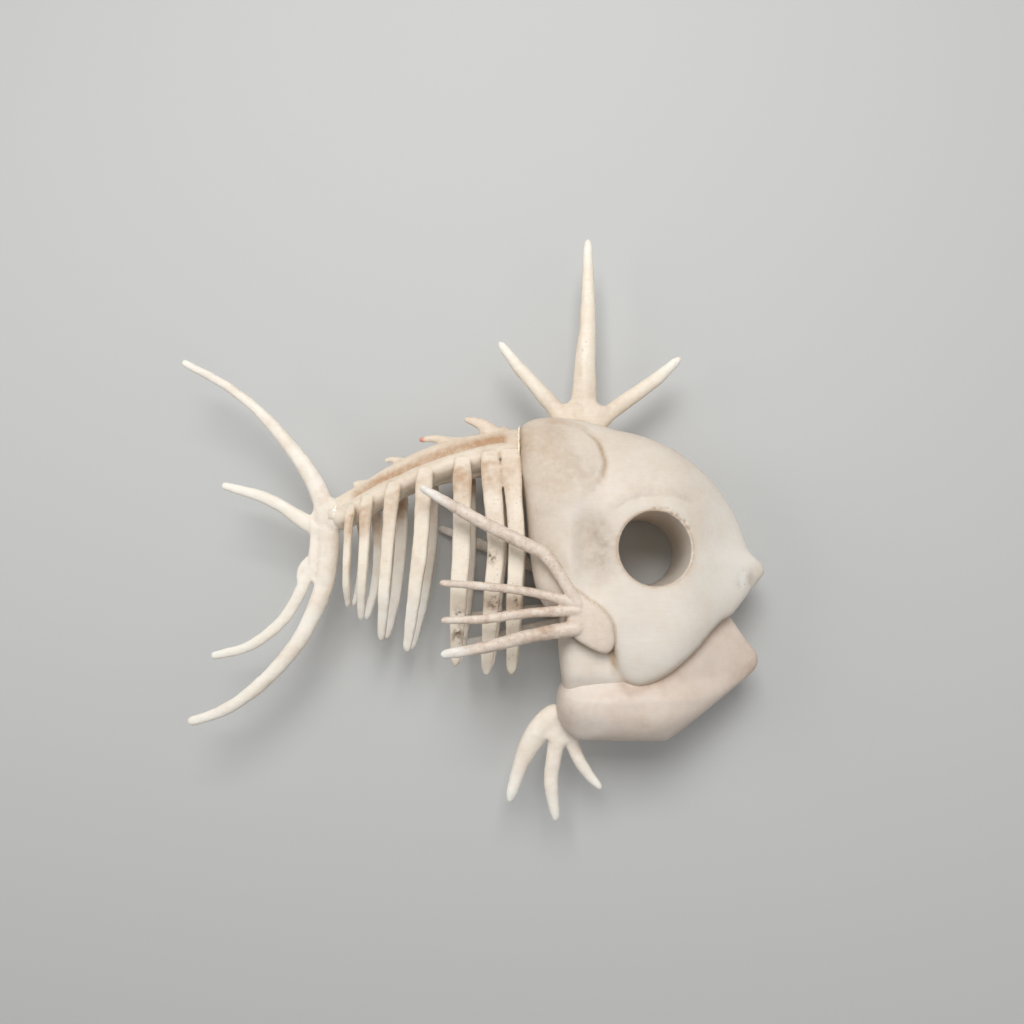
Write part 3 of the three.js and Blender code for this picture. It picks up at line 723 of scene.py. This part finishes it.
for node, rays, web, middle, web_half, plastic, slot, root_stain, seed in (
    ("dorsal_fin", dorsal_rays, dorsal_web, (14.6, 56.5), 3.1, ivory_plastic, "ivory_plastic", 0.26, 4),
    ("pelvic_fin", pelvic_rays, pelvic_web, (5, -47), 2.3, pale_plastic, "pale_plastic", 0.08, 5),
):
    shape = bmesh.new()
    for path, widths, slim in rays:
        ray(shape, path, widths, slim)
    flat_sided(shape, web, middle, web_half, squareness=3, around=96, across=24)
    fin = skin(node + "_rays", shape, fineness=0.32, rounds=20)
    uneven(fin, size=5, amount=0.35, seed=seed)
    points = points_of(fin)
    root = np.array((*rays[0][0][0], 0))
    from_root = np.linalg.norm(points - root, axis=1)
    x, y, _ = points.T
    bend = hollows(fin)
    hollow = eased(bend, 0.003, 0.02)
    stained = 0.02 + 0.26 * hollow + root_stain * (1 - eased(from_root, 8, 30))
    stained = stained + 0.12 * blotches(points, 12, seed)
    ends = tips(points, [path[-1] for path, _, _ in rays], reach=14)
    long_line = 0.2 * (1 - eased(np.abs(x - 13.2), 0.3, 1.4)) * eased(y, 62, 70)
    paint(
        fin,
        stained=stained * (1 - 0.6 * ends),
        lined=(0.14 * eased(-bend, 0.002, 0.02) + long_line) * (1 - ends),
        sooty=0.06 * hollow,
        speckled=0.04 + 0.5 * (1 - eased(np.hypot(x - 14.5, (y - 78) / 3), 0.5, 3)),
        bleached=0.5 * ends,
    )
    finish_piece(fin, plastic, [node])

# --- Backbone ----------------------------------------------------------------------------------------------
# A short thick crest in ivory plastic, with four thin hooks that lean back to the tail. It plugs into the
# nape, where a bead of glue shows along the joint, and carries the rows of ribs on its flanks.

crest_path = [(-69.6, 21), (-62, 25.4), (-51.5, 31.6), (-38, 38.2), (-20, 42.6), (-8, 44.2), (1, 45.4)]
crest_heights = [11.4, 11.2, 11.8, 13.2, 14.4, 14.8, 16.4]
crest_thicknesses = [5, 5.8, 6.6, 7.4, 8.6, 10, 17]
hooks = [  # path from root to tip, heights, thicknesses
    ([(-50, 31.5), (-56.5, 32.6), (-62.2, 33.4)], [9, 5, 2], [5, 3.4, 1.6]),
    ([(-39, 39), (-45, 40.4), (-48.8, 41.4), (-51.8, 41)], [8, 4, 2.6, 1.4], [5, 2.8, 1.7, 1]),
    ([(-22, 45), (-29, 46.8), (-35, 48.4), (-40.2, 48)], [9, 5, 2.6, 1.7], [5, 3, 2, 1.3]),
    ([(-8, 47), (-14.6, 48.2), (-19.2, 53), (-25.2, 55.1)], [11, 9.6, 4.4, 1.6], [6, 5, 2.8, 1.2]),
]
crease_line = [
    (-60, 29.4), (-55.6, 31.7), (-52, 34), (-44.2, 37.2), (-37.8, 40.4), (-31.8, 42.7), (-23.7, 45.4),
    (-12.6, 47.2),
]  # fmt: skip
red_spot = (-40, 48.1, 0)
shape = bmesh.new()
limb(shape, crest_path, crest_heights, crest_thicknesses, sides=32, rings=96)
for path, heights, thicknesses in hooks:
    limb(shape, path, heights, thicknesses)
peg = bmesh.ops.create_cone(shape, cap_ends=True, segments=48, radius1=3.5, radius2=3.5, depth=8)["verts"]
bmesh.ops.rotate(shape, cent=(0, 0, 0), matrix=Matrix.Rotation(math.radians(90), 3, "Y"), verts=peg)
bmesh.ops.translate(shape, vec=(-65.4, 22.9, 0), verts=peg)
backbone = skin("backbone_crest", shape, fineness=0.28, rounds=8)
uneven(backbone, size=5, amount=0.3, seed=6)
points = points_of(backbone)
x, y, _ = points.T
hollow = eased(hollows(backbone), 0.003, 0.02)
crease_distance, _, _ = from_line(points, crease_line)
rolls = blotches(points, 6, 7)
stained = (
    0.16
    + 0.24 * hollow
    + (1 - eased(crease_distance, 0.5, 4)) * (0.16 + 0.06 * eased(rolls, 0.3, 0.6))
    + 0.16 * eased(x, -30, -8)
)
red_tip = 1 - eased(np.linalg.norm(points - red_spot, axis=1), 1, 2.4)
paint(
    backbone,
    stained=stained,
    lined=0.1 + 0.1 * eased(y, 36, 44) + 0.4 * (1 - eased(crease_distance, 0.2, 3)),
    sooty=0.05 * hollow,
    speckled=0.12,
    bleached=0,
    reddened=0.7 * red_tip,
)
finish_piece(backbone, ivory_plastic, ["backbone"])

# --- Ribs --------------------------------------------------------------------------------------------------
# Two rows of seven flat straps, each row moulded with its half of the backbone's flank in ivory plastic and
# glued on the middle plane. Each rib leaves the flank under the crease, bulges over the belly and draws in
# to a blunt tip.

flank_path = [
    (-68.4, 19.8), (-60, 24.9), (-53, 28.8), (-45, 32.9), (-37, 36.3), (-29, 38.8), (-21, 40.8), (-13, 42),
    (-1.5, 42.5),
]  # fmt: skip
flank_heights = [7.6, 8.2, 8.6, 7.8, 8.0, 8.4, 9.6, 10.2, 10.2]
flank_half_widths = [4.2, 4.8, 5.2, 5.6, 6, 6.5, 7, 7.4, 7.6]
half_gap = 0.15
root_lift, root_sunk, rib_sunk = 1.6, 0.5, 0.45
belly_spread, belly_height = 4.3, 13
root_flare = [0, 0.2, 0.6, 0.7, 0.4, 0.1]
rib_thicknesses = [2.4, 2.9, 2.9, 2.6, 1.7]
# Painted shadows of the pectoral rays across the ribs, with dark specks of dirt in them.
smears = (  # place on the side, size
    ((-14.4, -5.4), 3),
    ((-14.9, 9), 2.6),
    ((-7.6, -6), 2.6),
    ((-24.8, -10), 3.4),
    ((-25.6, -16), 3),
)
ribs = [  # root x, belly x, tip, tip level, widths down its length
    (-61.2, -61.2, (-61.8, -7.4), 3.4, [2.3, 2.5, 2.4, 2.3, 1.7]),
    (-55.9, -55.7, (-57.5, -11.6), 3.8, [3.6, 3.6, 3.3, 3, 2]),
    (-47.1, -48.1, (-50.8, -18), 4.4, [4.3, 4.3, 4.0, 3.6, 2.3]),
    (-36.8, -37.6, (-42.4, -21.4), 5, [4.7, 5.1, 4.8, 4.1, 2.6]),
    (-24.8, -24.5, (-26.7, -25.6), 6, [5.0, 5.8, 5.7, 5.1, 3]),
    (-16.2, -13.7, (-16.9, -28.2), 6.8, [5.5, 6, 5.2, 5, 3.4]),
    (-9.5, -7.2, (-9.0, -28), 7.5, [6.1, 5.3, 5.1, 4.8, 3]),
]

for name, side, seed in (("rib_cage_right", 1, 8), ("rib_cage_left", -1, 9)):
    shape = bmesh.new()
    limb(shape, flank_path, flank_heights, [2 * half for half in flank_half_widths], sides=32, rings=110)
    for root_x, belly_x, tip, tip_level, widths in ribs:
        marks = [place[0] for place in flank_path]
        root_y = np.interp(root_x, marks, [place[1] for place in flank_path]) + root_lift
        level = np.interp(root_x, marks, flank_half_widths) - rib_sunk
        belly = level + belly_spread
        if side < 0 and root_x < -40:  # the rearmost left ribs bulge a little further forward
            belly_x = belly_x + 0.7
        waist = max(-1.8, tip[1] / 2 + 5.5)
        path = [
            (root_x, root_y, side * (level - root_sunk)),
            (
                root_x + 0.4 * (belly_x - root_x),
                root_y + 0.35 * (belly_height - root_y),
                side * (level + 0.66 * belly_spread),
            ),
            (belly_x, belly_height, side * belly),
            (belly_x + 0.36 * (tip[0] - belly_x), waist, side * (belly - 0.1)),
            (belly_x + 0.42 * (tip[0] - belly_x), waist - 2.6, side * (belly - 0.5)),
            (*tip, side * tip_level),
        ]
        if tip[1] > -12:  # a short rib has no second bend
            del path[4]
        widths = np.interp(np.linspace(0, 1, 25), np.linspace(0, 1, 5), widths)
        widths[: len(root_flare)] += root_flare
        facing = (0, 0, side)
        limb(shape, path, widths, rib_thicknesses, section=4.4, facing=facing, rings=110, root=0.3, point=2.4)
    bmesh.ops.bisect_plane(
        shape,
        geom=[*shape.verts, *shape.edges, *shape.faces],
        plane_co=(0, 0, side * half_gap),
        plane_no=(0, 0, -side),
        clear_outer=True,
    )
    bmesh.ops.holes_fill(shape, edges=[edge for edge in shape.edges if edge.is_boundary])
    cage = skin(name, shape, fineness=0.34, rounds=3)
    uneven(cage, size=6, amount=0.3, seed=seed)
    points = points_of(cage)
    x, y, _ = points.T
    bend = hollows(cage)
    patches = blotches(points, 7, seed)
    below_flank = np.interp(x, marks, [place[1] for place in flank_path]) - y
    sideways = np.abs(points_of(cage, "normal")[:, 2])
    rib_top = eased(below_flank, 1, 3) * (1 - eased(below_flank, 8, 18)) * eased(sideways, 0.5, 0.8)
    rib_top = rib_top * np.interp(x, [-50, -42, -36, -31, -26, -20, -14], [1, 0.9, 0.5, 0.5, 1.1, 1.1, 0.8])
    stained = (
        0.08
        + 0.08 * (1 - eased(below_flank, 3, 6))
        + 0.3 * eased(bend, 0.003, 0.025)
        + rib_top * (0.12 + 0.1 * eased(patches, 0.3, 0.7))
        + 0.1 * eased(patches, 0.4, 0.7)
        # painted shadow of the lower pectoral ray across ribs five to seven
        + 0.3 * (1 - eased(np.abs(y + 6), 0.5, 3)) * eased(x, -30, -22)
        # painted shadow of the top pectoral ray across ribs six and seven
        + 0.1 * (1 - eased(np.abs(y - 13), 0.5, 5)) * eased(x, -22, -14)
    )
    smear = np.zeros(len(points))
    for spot, size in smears:
        smear = np.maximum(smear, 1 - eased(np.hypot(x - spot[0], (y - spot[1]) * 0.7), 0.4, size))
    smear = smear * eased(blotches(points, 1.8, seed + 3), 0.42, 0.6)
    lined = (
        0.3 * eased(-bend, 0.012, 0.04) * eased(patches, 0.4, 0.6)
        + rib_top * (0.1 + 0.24 * patches)
        + 0.08 * eased(y, 0, 30)
    )
    paint(
        cage,
        stained=stained,
        lined=lined,
        # painted shadows of the pectoral rays, darker on the near right row
        sooty=(0.8 if side > 0 else 0.3) * smear,
        speckled=0.12 + 0.8 * smear + 0.2 * eased(x, -30, -10),
        # the whole left row is painted paler, standing in for the grey look that shade and light through the
        # plastic give it
        bleached=0.6 * eased(-y, -8, 14) * (1 - eased(x, -38, -28)) + (0 if side > 0 else 0.5),
    )
    finish_piece(cage, ivory_plastic, ["ribs_right" if side > 0 else "ribs_left"])

# --- Tail fin ----------------------------------------------------------------------------------------------
# One long crescent with two short rays behind it on a thin web, cast in a paler plastic with little stain.
# It slips over the peg at the end of the backbone and is held with a drop of clear glue.

crescent = [
    (-121.7, 75.6), (-104.4, 65.9), (-92.5, 56), (-81.8, 43.9), (-74.3, 32.6), (-70, 19), (-69.8, 8),
    (-71, -0.7), (-74.2, -9.5), (-79.5, -19.4), (-90.8, -32.2), (-102.1, -40.4), (-114.5, -44.7),
]  # fmt: skip
crescent_widths = [2.8, 3.1, 3.5, 4.4, 5.5, 6.6, 7, 6.6, 5.8, 5.2, 4.8, 4.1, 3.1]
short_rays = [
    ([(-71, 17), (-77.4, 20.6), (-90.5, 28.3), (-106.4, 33.2)], [7, 4.6, 4, 2.9]),
    ([(-73, 12), (-76.2, 3.5), (-84, -11.2), (-95, -20), (-107.8, -23.5)], [4, 4.2, 4, 3.6, 2.8]),
    ([(-74.5, 9), (-78.4, 5.2), (-79.3, 0.4)], [4, 3, 2]),
]
socket_path = [(-75.5, 22.4), (-70.5, 22.8), (-65.6, 22.8), (-62.4, 23.6)]
socket_widths, socket_thicknesses = [15, 13.4, 11.6, 9.6], [4.8, 5.6, 6.8, 6.4]
web_outline = [(-71, 27), (-75.8, 23.5), (-76, 9), (-78, 5), (-74, 0), (-71, 27)]
shape = bmesh.new()
limb(shape, crescent, crescent_widths, [width * 0.72 for width in crescent_widths], rings=160, point=1)
for path, widths in short_rays:
    limb(shape, path, widths, [width * 0.62 for width in widths], point=1)
limb(shape, socket_path, socket_widths, socket_thicknesses, section=2.4)
flat_sided(shape, web_outline, (-74.5, 12), half_width=1.5, squareness=5, around=64, across=20)
tail = skin("tail_fin_fork", shape, fineness=0.35, rounds=16)
uneven(tail, size=6, amount=0.4, seed=10)
points = points_of(tail)
x, y, _ = points.T
hollow = eased(hollows(tail), 0.003, 0.02)
crescent_distance, _, _ = from_line(points, crescent)
patches = blotches(points, 8, 11)
stained = 0.03 + 0.2 * hollow + 0.16 * eased(patches, 0.4, 0.7) * (1 - eased(crescent_distance, 2, 4))
stained = stained + 0.12 * eased(x, -78, -70) * (1 - eased(np.abs(y - 20), 10, 34))
ends = tips(points, [crescent[0], crescent[-1], *(path[-1] for path, _ in short_rays[:2])], reach=22)
step = (1 - eased(np.abs(x + 75.6), 0.15, 0.7)) * (1 - eased(np.abs(y - 14), 6, 10))
paint(
    tail,
    stained=stained * (1 - 0.5 * ends),
    lined=0.2 * step,
    sooty=0.05 * hollow,
    speckled=0.08,
    bleached=0.35 * ends,
)
finish_piece(tail, pale_plastic, ["tail_fin"])

# --- Pectoral fins -----------------------------------------------------------------------------------------
# Four thin rays swept back from a flat lobe, cast in one piece and glued to the cheek with the lobe's edge
# showing. The stain was rubbed hardest here, so they are mottled pink and tan with dark specks in the pits.

rubbed_plastic = moulded_plastic("rubbed_plastic", "ebe0d3", "b08a6e", 0.7, 0.45)

top_rays = {
    1: [(12.4, -7), (10.2, -3.6), (6, 3), (3.4, 7), (1.2, 9.4), (-1.6, 10.9), (-18.2, 19.3), (-36.4, 29.7)],
    -1: [(11, -5.6), (5, 2.2), (-4, 7.3), (-18.6, 13.3), (-36, 20.3)],
}
lower_rays = [
    ([(12, -5.8), (-3, -2.1), (-18.2, -0.3), (-30.2, 0.6)], [3.4, 2.8, 2.7, 2.1]),
    ([(13, -7.4), (-3, -8.4), (-18.2, -10.3), (-29.6, -10.6)], [3.6, 3, 2.9, 2.1]),
    ([(13, -12.4), (-3, -15.2), (-18.1, -18.9), (-29.6, -20.8)], [5, 4.2, 3.7, 2.8]),
]
lobe_level, tip_level = 17.6, 20.5
for name, node, side, root_level, seed in (
    ("pectoral_rays_right", "pectoral_fin_right", 1, 19.4, 12),
    ("pectoral_rays_left", "pectoral_fin_left", -1, 18.6, 13),
):
    shape = bmesh.new()
    lobe = {"half_width": 3, "squareness": 4.2, "level": side * lobe_level}
    flat_sided(shape, lobe_outline, (15, -11), **lobe, around=96, across=36)
    for path, widths in [(top_rays[side], [3.4, 4, 4.1, 3.9, 2.4]), *lower_rays]:
        last = len(path) - 1
        path = [
            (*place, side * (root_level + (tip_level - root_level) * number / last))
            for number, place in enumerate(path)
        ]
        limb(shape, path, widths, [width * 0.9 for width in widths], facing=(0, 0, side))
    fin = skin(name, shape, fineness=0.28, rounds=4)
    uneven(fin, size=2.2, amount=0.22 - 0.15 * eased(points_of(fin)[:, 0], 6, 11), seed=seed)
    points = points_of(fin)
    x = points[:, 0]
    hollow = eased(hollows(fin), 0.003, 0.02)
    patches = blotches(points, 5, seed)
    ends = tips(points, [(-30.6, -21, side * 20.6), (-37.2, 30.2, side * 20.6)], reach=16)
    lobe = eased(x, 6, 12)
    stained = 0.24 - 0.16 * lobe + 0.3 * hollow + 0.16 * eased(patches, 0.4, 0.65) * (1 - lobe)
    paint(
        fin,
        # The left fin gets half the stain and is painted paler, standing in for the grey look that shade and
        # light through the plastic give it.
        stained=stained * (1 - 0.9 * ends) * (1 if side > 0 else 0.5),
        lined=0.16 * eased(0.5 - np.abs(patches - 0.5), 0.44, 0.5) * (1 - ends) * (1 - lobe) + 0.16 * lobe,
        sooty=(0.05 + 0.1 * eased(patches, 0.55, 0.7)) * (1 - 0.7 * lobe),
        speckled=0.36 * (1 - ends) * (1 - 0.8 * lobe),
        bleached=0.75 * ends + (0 if side > 0 else 0.3),
    )
    finish_piece(fin, rubbed_plastic, [node])

# --- Glue --------------------------------------------------------------------------------------------------
# Clear glue that set whitish and glossy where the parts were joined: a bead along the nape, a drop on the
# tail's socket, and crumbs where each pectoral lobe meets the cheek.

clear_glue = bpy.data.materials.new("clear_glue")
clear_glue.use_nodes = True
tree = clear_glue.node_tree
shader = tree.nodes["Principled BSDF"]
place = add_node(tree, "ShaderNodeTexCoord").outputs["Object"]
cloudy = add_node(tree, "ShaderNodeTexNoise", {"Vector": place, "Scale": 900.0, "Detail": 3.0}).outputs["Fac"]
glue_colour = blend_colours(tree, ramp(tree, cloudy, 0.35, 0.65), colour("f2ecdd"), colour("e3d3b4"))
tree.links.new(glue_colour, shader.inputs["Base Color"])
tree.links.new(ramp(tree, cloudy, 0.3, 0.7, 0.1, 0.3), shader.inputs["Roughness"])
shader.inputs["Coat Weight"].default_value = 0.4
shader.inputs["Coat Roughness"].default_value = 0.08

nape_bead = [(-6.7, 52.1, 1.4), (-6.7, 50.6, 4.4), (-6.7, 47.4, 6.9), (-6.7, 43.5, 7.8), (-6.7, 39.5, 7.4)]
bead_widths, bead_thicknesses = [0.7, 0.9, 0.8, 0.9, 0.7], [0.8] * 5
tail_drop = ((-67, 23.4, 3.2), (1.1, 2.4, 0.5))
crumb_level = 18.9
crumbs = [  # x, y, size
    (9.6, -2.2, 0.5), (11.4, -2.6, 0.35), (13.2, -3.6, 0.3), (15.6, -4.9, 0.4), (17, -5.8, 0.25),
]  # fmt: skip
for name, side in (("glue_right", 1), ("glue_left", -1)):
    shape = bmesh.new()
    limb(shape, [(x, y, side * z) for x, y, z in nape_bead], bead_widths, bead_thicknesses)
    drops = [tail_drop]
    drops += [((x, y, crumb_level), (1.5 * size, 0.8 * size, 0.9 * size)) for x, y, size in crumbs]
    for (x, y, z), size in drops:
        made = bmesh.ops.create_uvsphere(shape, u_segments=24, v_segments=16, radius=1)
        bmesh.ops.scale(shape, vec=size, verts=made["verts"])
        bmesh.ops.translate(shape, vec=(x, y, side * z), verts=made["verts"])
    glue = skin(name, shape, fineness=0.16, rounds=4)
    uneven(glue, size=1.2, amount=0.3, seed=20)
    glue.data.transform(fish_lies)
    glue.data.materials.clear()
    glue.data.materials.append(clear_glue)
    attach(glue, "root")

# --- Floor, light and camera -------------------------------------------------------------------------------
# A plain pale floor that the fish lies on, under soft studio light.

shape = bmesh.new()
bmesh.ops.create_grid(shape, x_segments=1, y_segments=1, size=1.5)
floor = add_object("floor", bpy.data.meshes.new("floor"))
shape.to_mesh(floor.data)
shape.free()
paper = bpy.data.materials.new("paper")
paper.use_nodes = True
shader = paper.node_tree.nodes["Principled BSDF"]
shader.inputs["Base Color"].default_value = colour("c2c2c0")
shader.inputs["Roughness"].default_value = 0.85
floor.data.materials.append(paper)

for name, place, aim, size, watts in (
    ("key_light", (0.02, 0.29, 0.56), (0.0, 0, 0.02), 0.3, 2.85),
    ("fill_light", (0.4, -0.1, 0.5), (0.02, 0, 0.02), 0.45, 0.66),
    ("side_light", (-0.5, 0.05, 0.4), (0.0, 0, 0.02), 0.35, 0.85),
):
    lamp = add_object(name, bpy.data.lights.new(name, "AREA"))
    lamp.data.size = size
    lamp.data.energy = watts
    lamp.location = place
    lamp.rotation_euler = (Vector(aim) - Vector(place)).to_track_quat("-Z", "Y").to_euler()

world = bpy.data.worlds.new("studio")
world.use_nodes = True
sky = world.node_tree.nodes["Background"]
sky.inputs["Color"].default_value = (0.97, 0.985, 1, 1)
sky.inputs["Strength"].default_value = 0.24
bpy.context.scene.world = world
bpy.context.scene.view_settings.view_transform = "Standard"

camera = add_object("camera", bpy.data.cameras.new("camera"))
camera.data.sensor_width = 36
camera.data.lens = 27.07
camera.data.clip_start = 0.01
ahead = Vector((-0.08456, 0.08306, -0.99295)).normalized()
up = Vector((0.00630, 0.99654, 0.08283)).normalized()
right = ahead.cross(up).normalized()
up = right.cross(ahead)
camera_place = Matrix.Translation((0.037537, -0.017987, 0.273005))
camera.matrix_world = camera_place @ Matrix((right, up, -ahead)).transposed().to_4x4()
bpy.context.scene.camera = camera

bpy.context.view_layer.update()
